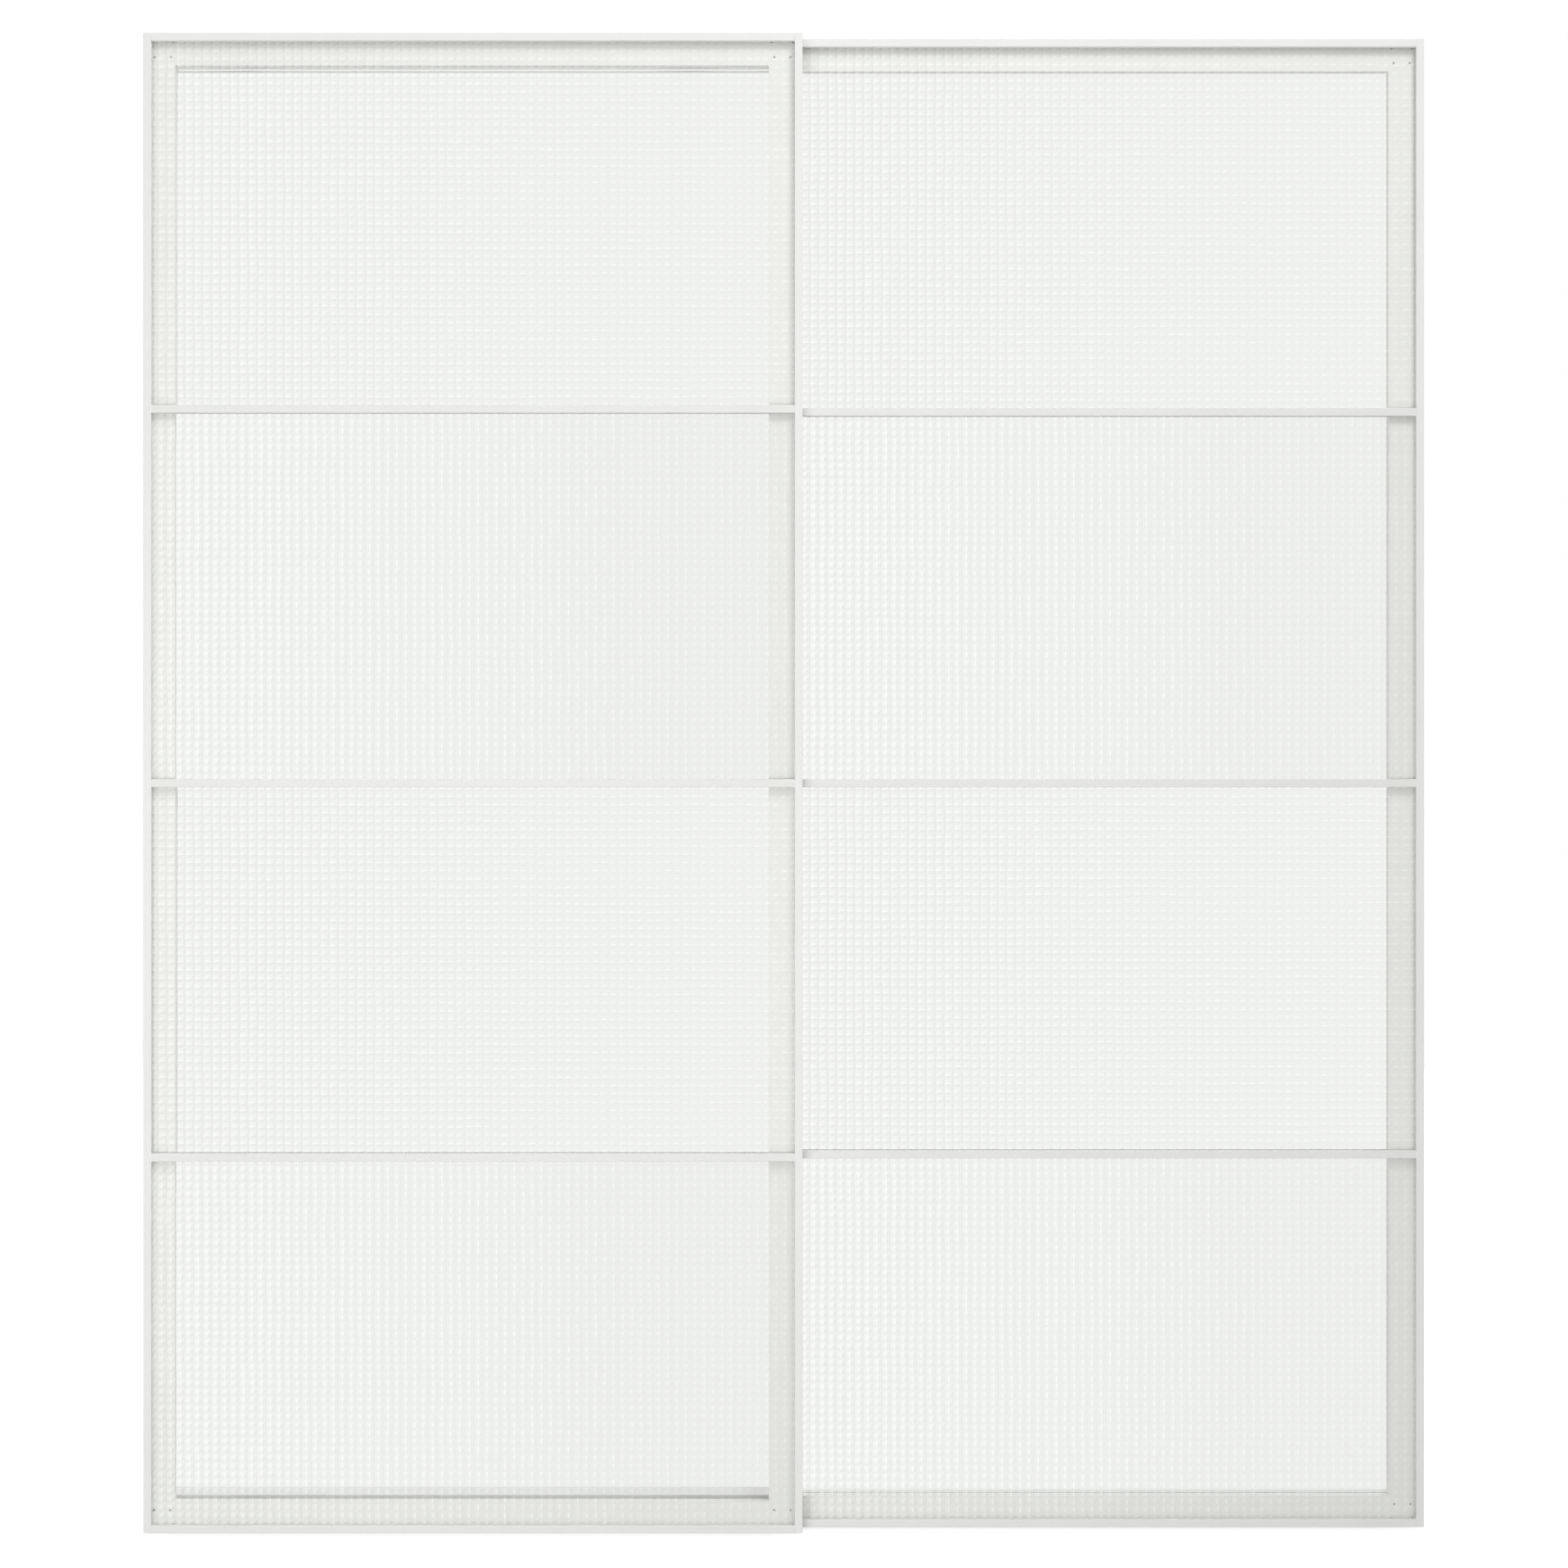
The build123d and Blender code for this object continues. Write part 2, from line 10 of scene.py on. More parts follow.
import bpy
import numpy as np
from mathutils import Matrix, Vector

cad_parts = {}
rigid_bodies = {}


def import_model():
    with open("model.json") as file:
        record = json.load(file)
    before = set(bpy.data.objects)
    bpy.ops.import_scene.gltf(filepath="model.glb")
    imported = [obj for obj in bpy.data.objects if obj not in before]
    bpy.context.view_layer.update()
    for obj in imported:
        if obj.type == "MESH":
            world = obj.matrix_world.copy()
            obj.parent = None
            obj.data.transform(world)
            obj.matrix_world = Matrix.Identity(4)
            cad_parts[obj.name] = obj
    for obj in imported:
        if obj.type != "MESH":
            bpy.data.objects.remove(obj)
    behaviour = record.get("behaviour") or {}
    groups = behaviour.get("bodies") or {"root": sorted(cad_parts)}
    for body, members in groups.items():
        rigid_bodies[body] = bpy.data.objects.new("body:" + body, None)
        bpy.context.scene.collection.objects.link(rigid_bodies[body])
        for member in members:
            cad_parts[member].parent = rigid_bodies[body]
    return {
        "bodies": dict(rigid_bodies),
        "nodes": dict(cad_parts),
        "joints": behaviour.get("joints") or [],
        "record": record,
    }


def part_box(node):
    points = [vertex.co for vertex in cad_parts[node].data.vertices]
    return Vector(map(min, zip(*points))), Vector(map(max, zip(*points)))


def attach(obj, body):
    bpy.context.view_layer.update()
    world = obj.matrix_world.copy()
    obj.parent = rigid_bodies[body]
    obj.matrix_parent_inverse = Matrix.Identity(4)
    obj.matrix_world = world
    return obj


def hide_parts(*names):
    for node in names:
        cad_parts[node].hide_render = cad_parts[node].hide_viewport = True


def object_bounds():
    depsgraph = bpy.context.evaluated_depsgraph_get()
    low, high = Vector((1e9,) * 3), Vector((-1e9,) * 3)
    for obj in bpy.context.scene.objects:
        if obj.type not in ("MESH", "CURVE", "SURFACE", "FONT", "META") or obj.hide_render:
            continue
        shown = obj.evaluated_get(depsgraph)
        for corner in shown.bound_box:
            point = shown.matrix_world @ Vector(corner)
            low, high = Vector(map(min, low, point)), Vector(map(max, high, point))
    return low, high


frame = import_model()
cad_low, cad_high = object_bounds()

scene = bpy.context.scene
scene.view_settings.view_transform = "Standard"
for kind in ("bodies", "nodes", "joints"):
    print(kind, len(frame[kind]))

# %% [markdown]
# ## The camera
# The picture is taken straight on, level with the middle of the doors. The rear door looks a
# little smaller than the front one, and how much smaller gives the distance. A level camera with
# no shift keeps every upright of the frame upright.

# %% Camera
CAMERA_PLACE = (-0.0036, -4.414, -1.1553)
CAMERA_LENS = 64.55
CAMERA_REACH = 60.0

camera_data = bpy.data.cameras.new("camera")
camera_data.lens = CAMERA_LENS
camera_data.clip_end = CAMERA_REACH
camera = bpy.data.objects.new("camera", camera_data)
camera.location = CAMERA_PLACE
camera.rotation_euler = (np.pi / 2, 0.0, 0.0)
scene.collection.objects.link(camera)
scene.camera = camera
print("camera at", tuple(round(v, 3) for v in camera.location))
print("lens", round(camera_data.lens, 2), "mm")

# %% [markdown]
# ## A small kit for node materials
# Every finish is built the same way: one Principled shader with constant gloss on its own
# sockets, and a few procedural textures for colour, roughness and bump. Object coordinates are
# in metres, so a texture scale of 1000 gives features of about a millimetre. Fractal noise
# mostly lies between 0.3 and 0.7, so that range is spread over the whole of each finish.

# %% Node helpers
NOISE_RANGE = (0.3, 0.7)
TONE_DETAIL = 4.0
GRAIN_DETAIL = 2.0


def new_material(name):
    """An empty node material: its nodes, its links and its output."""
    made = bpy.data.materials.new(name)
    made.use_nodes = True
    made.node_tree.nodes.clear()
    output = made.node_tree.nodes.new("ShaderNodeOutputMaterial")
    return made, made.node_tree.nodes, made.node_tree.links, output


def add_node(nodes, kind, values=None, **settings):
    """One node of this kind, with its settings and its input values."""
    node = nodes.new(kind)
    for setting, value in settings.items():
        setattr(node, setting, value)
    for socket, value in (values or {}).items():
        node.inputs[socket].default_value = value
    return node


def connect(links, source, target):
    """Link a value or a socket into an input: numbers are set, sockets are linked."""
    if isinstance(source, bpy.types.NodeSocket):
        links.new(source, target)
    else:
        target.default_value = source


def calculate(nodes, links, operation, first, second=0.0, third=0.0, clamp=False):
    """One Math node over numbers or sockets."""
    node = add_node(nodes, "ShaderNodeMath", operation=operation, use_clamp=clamp)
    for place, source in enumerate((first, second, third)):
        connect(links, source, node.inputs[place])
    return node.outputs[0]


def ramp(nodes, links, source, low, high, to_low, to_high):
    """Map a value from one range to another, eased at both ends."""
    ranges = {"From Min": low, "From Max": high, "To Min": to_low, "To Max": to_high}
    node = add_node(nodes, "ShaderNodeMapRange", ranges, interpolation_type="SMOOTHSTEP")
    links.new(source, node.inputs["Value"])
    return node.outputs["Result"]


def seen_rays(nodes, links, *kinds):
    """1 for any of these kinds of ray, and 0 for the others."""
    path = add_node(nodes, "ShaderNodeLightPath")
    total = path.outputs[kinds[0]]
    for kind in kinds[1:]:
        total = calculate(nodes, links, "MAXIMUM", total, path.outputs[kind])
    return total


def noise(nodes, links, where, scale, detail, stretch=None):
    """Fractal noise over the object's own coordinates, squeezed along an axis where asked."""
    if stretch:
        mapping = add_node(nodes, "ShaderNodeMapping", {"Scale": stretch})
        links.new(where, mapping.inputs["Vector"])
        where = mapping.outputs["Vector"]
    node = add_node(nodes, "ShaderNodeTexNoise", {"Scale": scale, "Detail": detail})
    links.new(where, node.inputs["Vector"])
    return node.outputs["Fac"]


def finish(name, low_colour, high_colour, tone_scale, rough, grain_scale, grain_depth,
           stretch=None, tone_stretch=None, **gloss):
    """A solid finish: colour between two tones, roughness between two values, and a fine bump."""
    made, nodes, links, output = new_material(name)
    shader = add_node(nodes, "ShaderNodeBsdfPrincipled", gloss)
    where = add_node(nodes, "ShaderNodeTexCoord").outputs["Object"]
    tone = noise(nodes, links, where, tone_scale, TONE_DETAIL, tone_stretch)
    mix = add_node(nodes, "ShaderNodeMix", data_type="RGBA")
    mix.inputs[6].default_value = (*low_colour, 1.0)
    mix.inputs[7].default_value = (*high_colour, 1.0)
    links.new(ramp(nodes, links, tone, *NOISE_RANGE, 0.0, 1.0), mix.inputs[0])
    links.new(mix.outputs[2], shader.inputs["Base Color"])
    grain = noise(nodes, links, where, grain_scale, GRAIN_DETAIL, stretch)
    links.new(ramp(nodes, links, grain, *NOISE_RANGE, *rough), shader.inputs["Roughness"])
    bump = add_node(nodes, "ShaderNodeBump", {"Strength": 1.0, "Distance": grain_depth})
    links.new(grain, bump.inputs["Height"])
    links.new(bump.outputs["Normal"], shader.inputs["Normal"])
    links.new(shader.outputs["BSDF"], output.inputs["Surface"])
    return made


def dress(made, *names):
    """Give these nodes one material in every slot."""
    for name in names:
        for material_slot in frame["nodes"][name].material_slots:
            material_slot.material = made
    print(made.name, "on", len(names), "nodes")


def named(*endings):
    """The nodes whose names end in one of these words."""
    return sorted(name for name in frame["nodes"] if name.endswith(endings))


print("helpers ready for", len(frame["nodes"]), "nodes")


# %% [markdown]
# ## Powder-coated frame
# The stiles and rails are extrusions under a baked white powder. It is a slightly warm
# white with a satin gloss. Close up it has a soft peel of a millimetre or two, and the shine
# is broken a little by it. One material on the stiles and rails keeps their joints quiet.
#
# The lips in front of the glass are painted a shade darker than the boxes behind it, though both
# are the same powder: a painted shade, which brings the lips close in tone to the boxes seen
# through the glass. A door and the gap behind it take 36 mm, and the front face is 86 mm in front
# of the wall. So the depth within either door is the remainder of Y + 86 mm over 36 mm. The count
# starts 0.1 mm early, because rounding must not drop the front face below zero, and a step just
# before 13.5 mm parts lips from boxes.

# %% Frame finish
PEEL = {"tone_scale": 9.0, "rough": (0.36, 0.46), "grain_scale": 620.0, "grain_depth": 0.000007}
DOOR_PITCH = 0.036
COUNT_START = 0.0861
LIP_END = (0.0132, 0.0135)
# The painted shade on the lips, multiplied into their powder.
LIP_PAINTED_SHADE = (0.866, 0.868, 0.866, 1.0)

powder = finish("white powder", (0.918, 0.917, 0.900), (0.932, 0.931, 0.916), **PEEL)
nodes, links = powder.node_tree.nodes, powder.node_tree.links
shader = next(node for node in nodes if node.type == "BSDF_PRINCIPLED")
unshaded_powder = shader.inputs["Base Color"].links[0].from_socket
place = add_node(nodes, "ShaderNodeSeparateXYZ")
links.new(add_node(nodes, "ShaderNodeTexCoord").outputs["Object"], place.inputs[0])
pitches = calculate(nodes, links, "MULTIPLY_ADD", place.outputs["Y"], 1.0 / DOOR_PITCH,
                    COUNT_START / DOOR_PITCH)
depth = calculate(nodes, links, "FRACT", pitches)
# Painted shade: the front 13.5 mm of each door, its lips, is multiplied down to a darker tone.
painted_lip_shade = add_node(nodes, "ShaderNodeMix", data_type="RGBA", blend_type="MULTIPLY")
lip_start, lip_stop = (end / DOOR_PITCH for end in LIP_END)
links.new(ramp(nodes, links, depth, lip_start, lip_stop, 1.0, 0.0), painted_lip_shade.inputs[0])
links.new(unshaded_powder, painted_lip_shade.inputs[6])
painted_lip_shade.inputs[7].default_value = LIP_PAINTED_SHADE
links.new(painted_lip_shade.outputs[2], shader.inputs["Base Color"])
dress(powder, *named("_stile", "_rail"))

# %% [markdown]
# The bars are thin extrusions, in a powder a shade greyer than the lips, with the same peel.

# %% Bar finish
bar_powder = finish("bar powder", (0.766, 0.768, 0.752), (0.780, 0.782, 0.767), **PEEL)
dress(bar_powder, *named("_bar_1", "_bar_2", "_bar_3"))

# %% [markdown]
# The tracks have the same powder, but they are worked surfaces: the rollers and shoes polish
# fine lines along them. Noise squeezed along X gives those lines.

# %% Track finish
track_powder = finish("track powder", (0.88, 0.88, 0.865), (0.91, 0.91, 0.90), tone_scale=60.0,
                      rough=(0.24, 0.44), grain_scale=900.0, grain_depth=0.00003,
                      stretch=(0.02, 1.0, 1.0), tone_stretch=(0.03, 1.0, 1.0))
dress(track_powder, "top_track", "bottom_track")

# %% [markdown]
# ## Fittings
# The corner brackets are die-cast zinc, dull and faintly mottled. Screws and axles are bright
# steel with turning marks. The hangers and guides are pressed from plated sheet, whose rolling
# direction shows as long faint streaks. Rollers and shoes are milky nylon, and the stops are
# dark rubber with a fine pitted skin.

# %% Metal and plastic finishes
cast = finish("cast zinc", (0.42, 0.42, 0.41), (0.56, 0.56, 0.55), tone_scale=120.0,
              rough=(0.45, 0.62), grain_scale=700.0, grain_depth=0.00006, Metallic=1.0)
dress(cast, *named("_bracket"))
screw_steel = finish("screw steel", (0.44, 0.44, 0.44), (0.60, 0.60, 0.59), tone_scale=700.0,
                     rough=(0.26, 0.42), grain_scale=2400.0, grain_depth=0.00001, Metallic=1.0)
dress(screw_steel, *named("_screws"))
axle_steel = finish("axle steel", (0.50, 0.50, 0.49), (0.66, 0.66, 0.65), tone_scale=260.0,
                    rough=(0.18, 0.30), grain_scale=2600.0, grain_depth=0.00001, Metallic=1.0)
dress(axle_steel, *named("_axles"))
plated = finish("plated sheet", (0.58, 0.59, 0.60), (0.72, 0.73, 0.74), tone_scale=40.0,
                rough=(0.22, 0.38), grain_scale=500.0, grain_depth=0.00002,
                stretch=(1.0, 1.0, 0.05), tone_stretch=(1.0, 1.0, 0.1), Metallic=1.0)
dress(plated, *named("_hanger", "_guide"))
roller_nylon = finish("roller nylon", (0.72, 0.71, 0.66), (0.80, 0.79, 0.75), tone_scale=90.0,
                      rough=(0.30, 0.42), grain_scale=1400.0, grain_depth=0.00002)
dress(roller_nylon, *named("_roller"))
shoe_nylon = finish("shoe nylon", (0.62, 0.62, 0.60), (0.72, 0.72, 0.70), tone_scale=120.0,
                    rough=(0.36, 0.50), grain_scale=1200.0, grain_depth=0.00004)
dress(shoe_nylon, *named("_shoe"))
rubber = finish("stop rubber", (0.030, 0.030, 0.031), (0.048, 0.048, 0.050), tone_scale=200.0,
                rough=(0.62, 0.80), grain_scale=1500.0, grain_depth=0.00008)
dress(rubber, *named("_stop"))

# %% [markdown]
# ## Cross-reeded glass
# Each panel is rolled glass: rounded reeds run one way on its front and the other way on its
# back, so the light breaks up into small cells. In the first and third panels the level reeds
# are in front, and in the second and fourth the upright ones. Every face bends one way only, so
# a profile pulled straight across makes it exactly, with few faces.

# %% Reed profile
REED_ACROSS = 0.01393
REED_UP = 0.0127
REED_HEIGHT = 0.0005
STEPS = 14


def reed_line(low, high, wanted):
    """Points along a length and the height of the reeds there.

    With whole reeds of width w over the length, and t from -1 to 1 across one reed, the height
    is the crest height times 1 - t squared: a rounded crest between two sharp valleys."""
    count = max(1, round((high - low) / wanted))
    steps = np.arange(count * STEPS + 1)
    across = (steps % STEPS) / STEPS * 2.0 - 1.0
    return low + (high - low) * steps / steps[-1], REED_HEIGHT * (1.0 - across**2), count


def pulled_face(along, heights, start, end, plane, outward, upright):
    """A reeded face: its profile at both ends, joined by long flat strips.

    A point is (place along the profile, plane + outward times the height there, start or end),
    with the first and the last value swapped for level reeds."""
    ends = np.repeat([start, end], len(along))
    place = np.tile(along, 2)
    depth = plane + outward * np.tile(heights, 2)
    points = np.stack([place, depth, ends] if upright else [ends, depth, place], axis=1)
    first = np.arange(len(along) - 1)
    strips = np.stack([first, first + 1, first + 1 + len(along), first + len(along)], axis=1)
    return points, strips


def reeded_glass(node, upright_in_front):
    """A closed sheet of cross-reeded glass in the box of a plain panel.

    The front face and the back face are pulled profiles, and four flat rims close them."""
    low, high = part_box(node)
    x_line, x_height, x_count = reed_line(low.x, high.x, REED_ACROSS)
    z_line, z_height, z_count = reed_line(low.z, high.z, REED_UP)
    upright_plane, level_plane = (low.y, high.y) if upright_in_front else (high.y, low.y)
    outward = -1.0 if upright_in_front else 1.0
    upright, upright_strips = pulled_face(x_line, x_height, low.z, high.z,
                                          upright_plane - outward * REED_HEIGHT, outward, True)
    level, level_strips = pulled_face(z_line, z_height, low.x, high.x,
                                      level_plane + outward * REED_HEIGHT, -outward, False)
    n, m, base = len(x_line), len(z_line), len(upright)
    points = np.concatenate([upright, level])
    bottom = [*range(n), base + m, base]
    top = [*range(n, 2 * n), base + 2 * m - 1, base + m - 1]
    left = [*range(base, base + m), n, 0]
    right = [*range(base + m, base + 2 * m), 2 * n - 1, n - 1]
    mesh = bpy.data.meshes.new(node + "_glass")
    mesh.from_pydata(points.tolist(), [], [*upright_strips.tolist(),
                                           *(level_strips + base).tolist(),
                                           bottom, top, left, right])
    strips = len(upright_strips) + len(level_strips)
    mesh.polygons.foreach_set("use_smooth", np.arange(len(mesh.polygons)) < strips)
    valleys = np.concatenate([np.arange(0, n, STEPS), np.arange(0, m, STEPS) + base])
    partners = np.concatenate([np.arange(0, n, STEPS) + n, np.arange(0, m, STEPS) + base + m])
    ends = np.empty(len(mesh.edges) * 2, dtype=np.int64)
    mesh.edges.foreach_get("vertices", ends)
    pairs = np.sort(ends.reshape(-1, 2), axis=1)
    wanted = valleys * len(points) + partners
    sharp = np.isin(pairs[:, 0] * len(points) + pairs[:, 1], wanted)
    mesh.attributes.new("sharp_edge", "BOOLEAN", "EDGE").data.foreach_set("value", sharp)
    lay_cells(mesh, low, high, x_count, z_count)
    return mesh


def lay_cells(mesh, low, high, x_count, z_count):
    """Two UV maps: cells counts reeds across and up, place runs from 0 to 1 over the panel."""
    corners = np.empty(len(mesh.loops), dtype=np.int32)
    mesh.loops.foreach_get("vertex_index", corners)
    points = np.empty(len(mesh.vertices) * 3)
    mesh.vertices.foreach_get("co", points)
    points = points.reshape(-1, 3)[corners]
    share = np.stack([(points[:, 0] - low.x) / (high.x - low.x),
                      (points[:, 2] - low.z) / (high.z - low.z)], axis=1)
    for name, scale in (("cells", (x_count, z_count)), ("place", (1.0, 1.0))):
        layer = mesh.uv_layers.new(name=name)
        layer.data.foreach_set("uv", (share * scale).astype(np.float32).ravel())


print("reeds", REED_ACROSS, "m across and", REED_UP, "m up,", REED_HEIGHT, "m high")

# %% [markdown]
# The glass lets lamps straight through to the frame behind it, as thin glass nearly does, and
# bends what the eye sees. It is a little green, and over the green its colour carries painted
# light
# and shade: painted highlights on the crests and painted shade in the valleys, where two rounded
# faces meet. The cells are counted by the first map, and the second one lets the painted
# highlights and shade grow stronger or weaker over the panel, and the panel's painted tone fall
# off towards its right.
#
# Three things are painted in each cell: a bright dash on the crest, a painted highlight; a faint
# dark line in the upright valleys, a painted shade; and a pillow of painted light and shade,
# lighter on its upper left than on its lower right. The table holds one ramp for each, for panels
# with upright reeds in front (True) and with level ones (False): two places, and the value at
# each of them.

# %% Glass material
GLASS_TINT = (0.986, 1.0, 0.982, 1.0)
SHADOW_TINT = (0.99, 0.99, 0.988, 1.0)
GLASS_ROUGHNESS, GLASS_IOR = 0.03, 1.5
STRAY_SCALE, STRAY_DETAIL, STRAY = 0.21, 2.0, 0.36
UNEVEN_SCALE, UNEVEN_DETAIL, UNEVEN = 0.9, 1.0, (0.38, 0.60, 0.45, 1.20)
# Gains of the painted highlight dashes and of the painted shade in the valleys.
HIGHLIGHT_GAIN, VALLEY_SHADE_GAIN = 0.12, -0.075
# How far the painted valley shade reaches up from each valley.
VALLEY_SHADE_WIDTH = (0.0, 0.3, 1.0, 0.0)
PATTERN = {
    True: {"dash width": (0.74, 0.95, 0.0, 1.0), "dash length": (0.12, 0.50, 0.06, 1.0),
           "base": (0.0, 1.0, 0.917, 0.874), "highlight_dash": (0.1, 1.0, 1.25, 0.45),
           "valley_shade": (0.0, 1.0, 0.7, 0.2), "pillow_shading": (0.0, 0.45, 0.42, 0.12)},
    False: {"dash width": (0.70, 0.94, 0.0, 1.0), "dash length": (0.14, 0.50, 0.05, 1.0),
            "base": (0.0, 1.0, 0.912, 0.897), "highlight_dash": (0.0, 1.0, 0.95, 0.60),
            "valley_shade": (0.0, 0.8, 0.95, 0.05), "pillow_shading": (0.0, 0.9, 0.34, 0.10)},
}


def glass_finish(name, upright_in_front):
    """Clear rolled glass: tint and painted light by cell on a bending shader, open to lamp rays.
    """
    made, nodes, links, output = new_material(name)
    cells = add_node(nodes, "ShaderNodeUVMap", uv_map="cells").outputs["UV"]
    place = add_node(nodes, "ShaderNodeUVMap", uv_map="place").outputs["UV"]
    spread = add_node(nodes, "ShaderNodeSeparateXYZ")
    links.new(place, spread.inputs[0])
    wander = noise(nodes, links, cells, STRAY_SCALE, STRAY_DETAIL)
    counted = add_node(nodes, "ShaderNodeSeparateXYZ")
    links.new(cells, counted.inputs[0])
    sway = calculate(nodes, links, "MULTIPLY_ADD", wander, STRAY, -STRAY / 2.0)

    def crest(axis):
        """1 on a crest and 0 in a valley, and how far to which side of the crest it is."""
        moved = calculate(nodes, links, "ADD", counted.outputs[axis], sway)
        side = calculate(nodes, links, "SUBTRACT", calculate(nodes, links, "FRACT", moved), 0.5)
        off_middle = calculate(nodes, links, "ABSOLUTE", side)
        return calculate(nodes, links, "MULTIPLY_ADD", off_middle, -2.0, 1.0), side

    (across, across_side), (up, up_side) = crest("X"), crest("Y")
    # Painted light and shade: each cell lighter on its upper left than on its lower right.
    pillow_shading = calculate(nodes, links, "MULTIPLY", calculate(nodes, links, "MULTIPLY", across, up),
                       calculate(nodes, links, "SUBTRACT", up_side, across_side))
    uneven = noise(nodes, links, cells, UNEVEN_SCALE, UNEVEN_DETAIL)
    uneven = ramp(nodes, links, uneven, *UNEVEN)
    pattern = PATTERN[upright_in_front]
    over_crest, along_crest = (across, up) if upright_in_front else (up, across)
    # A painted highlight: a bright dash along each crest.
    highlight_dash = calculate(nodes, links, "MULTIPLY",
                     ramp(nodes, links, over_crest, *pattern["dash width"]),
                     ramp(nodes, links, along_crest, *pattern["dash length"]))
    # Painted shade: the base tone darkens towards the panel's right, as the painted light fades.
    base, highlight_share, valley_shade_share, pillow_shading_share = (
        ramp(nodes, links, spread.outputs["X"], *pattern[row])
        for row in ("base", "highlight_dash", "valley_shade", "pillow_shading"))
    # A painted shade: a dark line along each upright valley.
    valley_shade = ramp(nodes, links, across, *VALLEY_SHADE_WIDTH)
    valley_shade = calculate(nodes, links, "MULTIPLY", valley_shade, valley_shade_share)
    highlight_share = calculate(nodes, links, "MULTIPLY", highlight_share, uneven)
    highlight_dash = calculate(nodes, links, "MULTIPLY", highlight_dash, highlight_share)
    tone = calculate(nodes, links, "MULTIPLY_ADD", highlight_dash, HIGHLIGHT_GAIN, base)
    tone = calculate(nodes, links, "MULTIPLY_ADD", pillow_shading, pillow_shading_share, tone)
    tone = calculate(nodes, links, "MULTIPLY_ADD", valley_shade, VALLEY_SHADE_GAIN, tone, clamp=True)
    tint_and_painted_light = add_node(nodes, "ShaderNodeMix", data_type="RGBA")
    tint_and_painted_light.inputs[6].default_value = (0.0, 0.0, 0.0, 1.0)
    tint_and_painted_light.inputs[7].default_value = GLASS_TINT
    links.new(tone, tint_and_painted_light.inputs[0])
    shader = add_node(nodes, "ShaderNodeBsdfPrincipled", {
        "Roughness": GLASS_ROUGHNESS, "IOR": GLASS_IOR, "Transmission Weight": 1.0})
    links.new(tint_and_painted_light.outputs[2], shader.inputs["Base Color"])
    clear = add_node(nodes, "ShaderNodeBsdfTransparent", {"Color": SHADOW_TINT})
    lamps = add_node(nodes, "ShaderNodeMixShader")
    links.new(seen_rays(nodes, links, "Is Shadow Ray", "Is Diffuse Ray"), lamps.inputs[0])
    links.new(shader.outputs["BSDF"], lamps.inputs[1])
    links.new(clear.outputs["BSDF"], lamps.inputs[2])
    links.new(lamps.outputs["Shader"], output.inputs["Surface"])
    return made


glass = {True: glass_finish("reeded glass, upright in front", True),
         False: glass_finish("reeded glass, level in front", False)}
for door in ("front", "rear"):
    for number in (1, 2, 3, 4):
        node = f"{door}_panel_{number}"
        upright_in_front = number % 2 == 0
        pane = bpy.data.objects.new(node + "_glass", reeded_glass(node, upright_in_front))
        pane.data.materials.append(glass[upright_in_front])
        scene.collection.objects.link(pane)
        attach(pane, door + "_door")
        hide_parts(node)
        print(pane.name, "faces", len(pane.data.polygons))

# %% [markdown]
# ## Floor and backdrop
# The doors stand over a pale floor in a white studio. To the eye the floor and the world are
# plain white, and the floor still shows the shadow under the doors. Seen through the glass
# they are just under white, so the panels stay off pure white. To the object they are a plain
# grey-white surround, so that the lamps can shape it.

# %% White surroundings
WHITE = (1.0, 1.0, 1.0, 1.0)
SURROUND, SEEN, SEEN_THROUGH_GLASS = 0.57, 1.0, 0.97
FLOOR_REACH, FLOOR_GAP = 7.0, 0.0005
FLOOR_GREY, FLOOR_LIFT = (0.62, 0.62, 0.62, 1.0), 0.8

world = bpy.data.worlds.new("studio")
world.use_nodes = True
scene.world = world
world_nodes, world_links = world.node_tree.nodes, world.node_tree.links
world_nodes.clear()

around, seen, through = (
    add_node(world_nodes, "ShaderNodeBackground", {"Color": WHITE, "Strength": strength})
    for strength in (SURROUND, SEEN, SEEN_THROUGH_GLASS))
choose = add_node(world_nodes, "ShaderNodeMixShader")
choose_glass = add_node(world_nodes, "ShaderNodeMixShader")
world_output = add_node(world_nodes, "ShaderNodeOutputWorld")
to_the_eye = seen_rays(world_nodes, world_links, "Is Camera Ray", "Is Glossy Ray")
world_links.new(to_the_eye, choose.inputs[0])
world_links.new(around.outputs[0], choose.inputs[1])
world_links.new(seen.outputs[0], choose.inputs[2])
through_glass = seen_rays(world_nodes, world_links, "Is Transmission Ray")
world_links.new(through_glass, choose_glass.inputs[0])
world_links.new(choose.outputs[0], choose_glass.inputs[1])
world_links.new(through.outputs[0], choose_glass.inputs[2])
world_links.new(choose_glass.outputs[0], world_output.inputs[0])

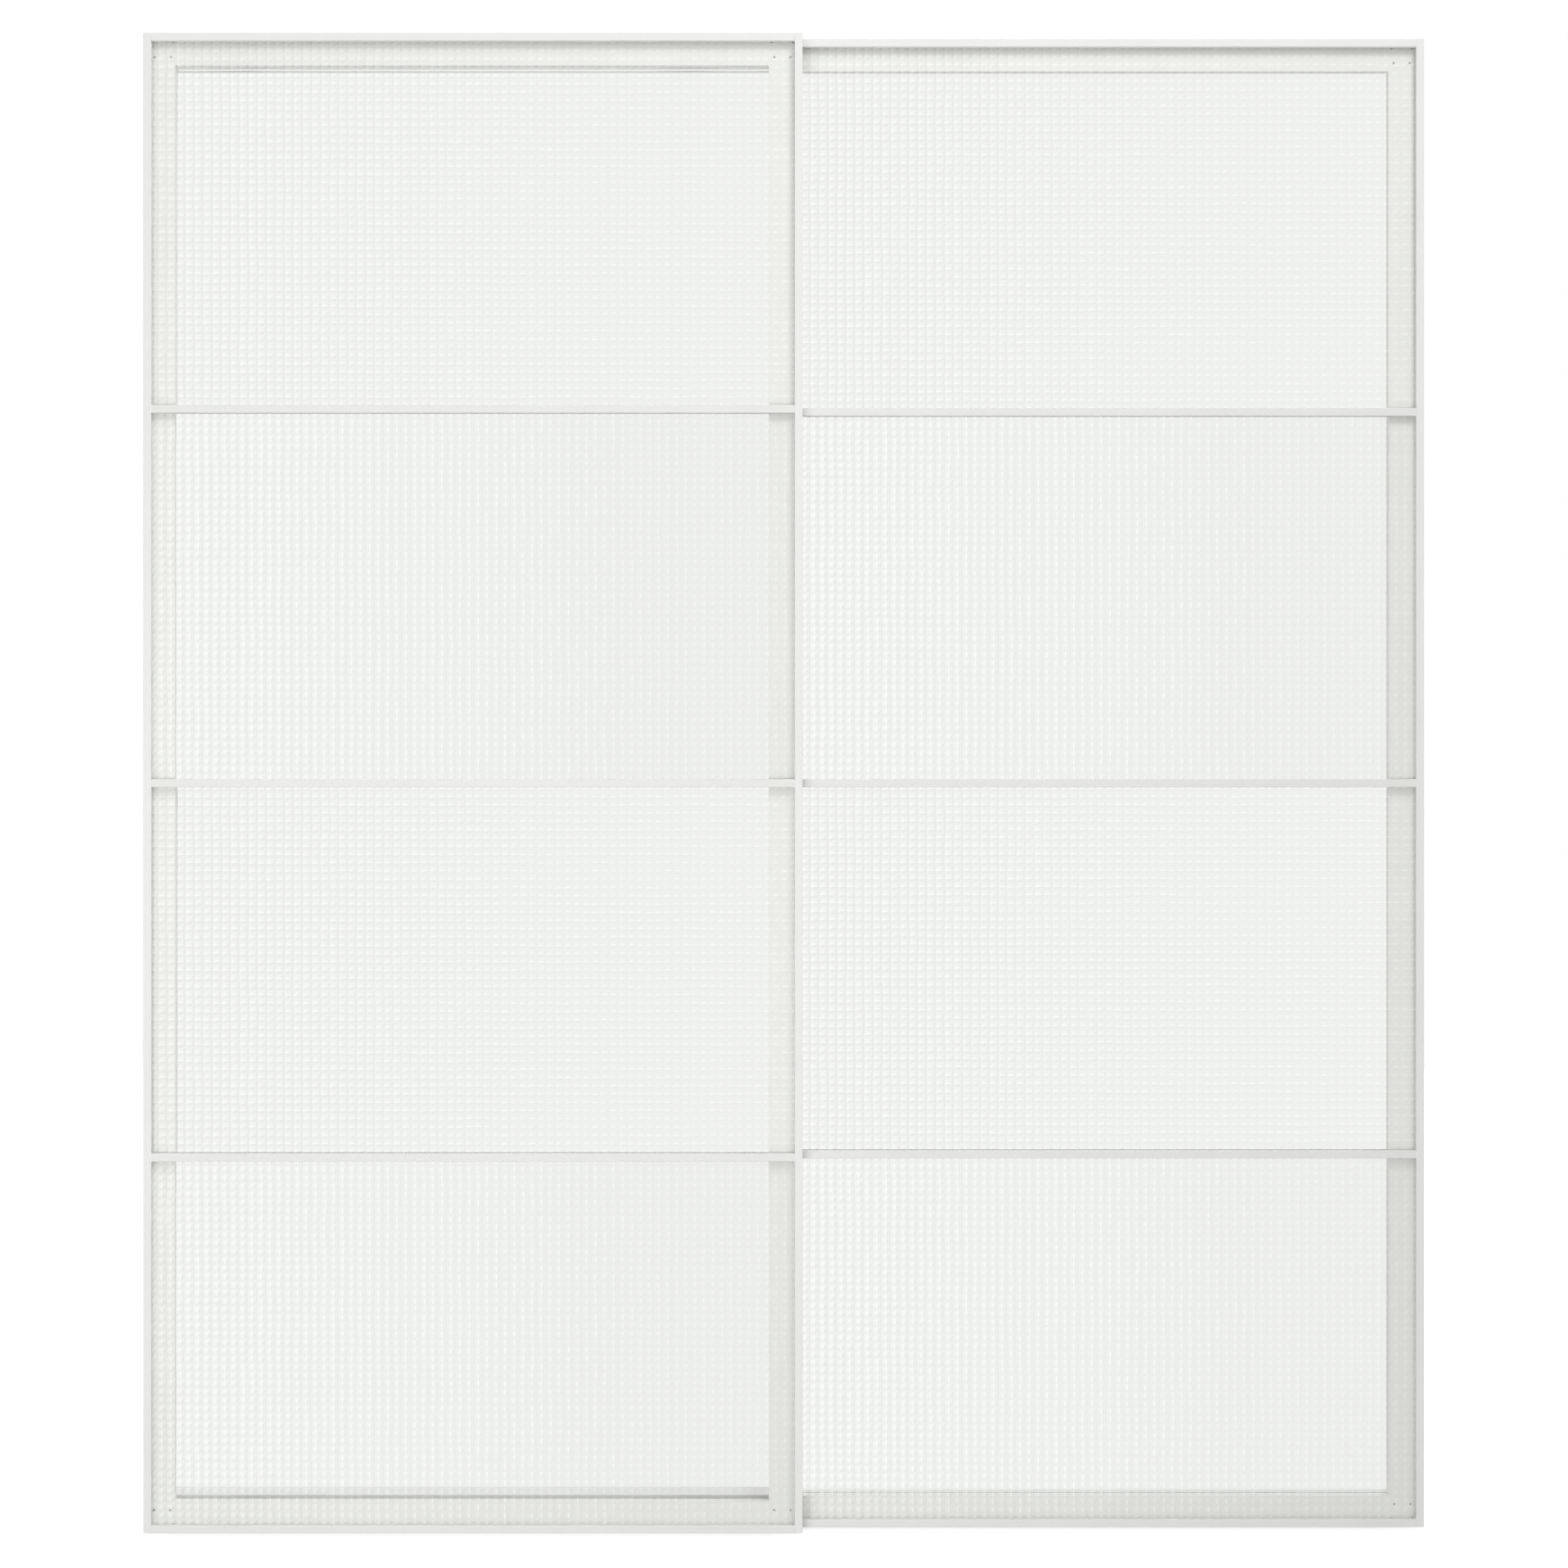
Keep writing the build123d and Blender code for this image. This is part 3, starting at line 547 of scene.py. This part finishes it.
floor_mesh = bpy.data.meshes.new("floor")
floor_mesh.from_pydata([(x * FLOOR_REACH, y * FLOOR_REACH, cad_low.z - FLOOR_GAP)
                        for x, y in ((-1, -1), (1, -1), (1, 1), (-1, 1))],
                       [], [(0, 1, 2, 3)])
floor = bpy.data.objects.new("floor", floor_mesh)
scene.collection.objects.link(floor)
pale, nodes, links, output = new_material("pale floor")
matt = add_node(nodes, "ShaderNodeBsdfDiffuse", {"Color": FLOOR_GREY})
lift = add_node(nodes, "ShaderNodeEmission", {"Color": WHITE, "Strength": FLOOR_LIFT})
lifted = add_node(nodes, "ShaderNodeAddShader")
links.new(matt.outputs[0], lifted.inputs[0])
links.new(lift.outputs[0], lifted.inputs[1])
white = add_node(nodes, "ShaderNodeEmission", {"Color": WHITE, "Strength": SEEN_THROUGH_GLASS})
by_camera, by_glass = (add_node(nodes, "ShaderNodeMixShader") for _ in range(2))
links.new(seen_rays(nodes, links, "Is Camera Ray"), by_camera.inputs[0])
links.new(matt.outputs[0], by_camera.inputs[1])
links.new(lifted.outputs[0], by_camera.inputs[2])
links.new(seen_rays(nodes, links, "Is Glossy Ray", "Is Transmission Ray"), by_glass.inputs[0])
links.new(by_camera.outputs[0], by_glass.inputs[1])
links.new(white.outputs[0], by_glass.inputs[2])
links.new(by_glass.outputs[0], output.inputs["Surface"])
floor_mesh.materials.append(pale)
print("floor at", round(cad_low.z - FLOOR_GAP, 4))

# %% [markdown]
# ## Lamps
# Two large soft lamps stand in front: one low on the left and one high on the right, so the
# tone falls off to the lower right as in the picture. A weak sun from behind keeps the back
# readable from other sides.


# %% Lamps
def set_lamp(name, kind, place, aim, power):
    """A lamp that turns its face from its place to its aim, and is never seen itself."""
    light = bpy.data.lights.new(name, kind)
    light.energy = power
    lamp = bpy.data.objects.new(name, light)
    scene.collection.objects.link(lamp)
    lamp.location = place
    away = np.array(place) - np.array(aim)
    tilt = np.arctan2(np.hypot(away[0], away[1]), away[2])
    lamp.rotation_euler = (tilt, 0.0, np.arctan2(away[0], -away[1]))
    lamp.visible_camera = lamp.visible_transmission = lamp.visible_glossy = False
    print(name, power)
    return light


left = set_lamp("left lamp", "AREA", place=(-0.7, -3.16, -1.58), aim=(-1.19, 0.0, -2.29),
                power=36.0)
left.shape, left.size, left.size_y = "RECTANGLE", 1.8, 1.1
right = set_lamp("right lamp", "AREA", place=(1.28, -2.48, 2.0), aim=(-1.12, 0.0, 0.98),
                 power=59.0)
right.shape, right.size = "SQUARE", 1.6
behind = set_lamp("back light", "SUN", place=(2.2, 1.8, 2.8), aim=(0.0, 0.0, 0.0), power=0.6)
behind.angle = 0.5
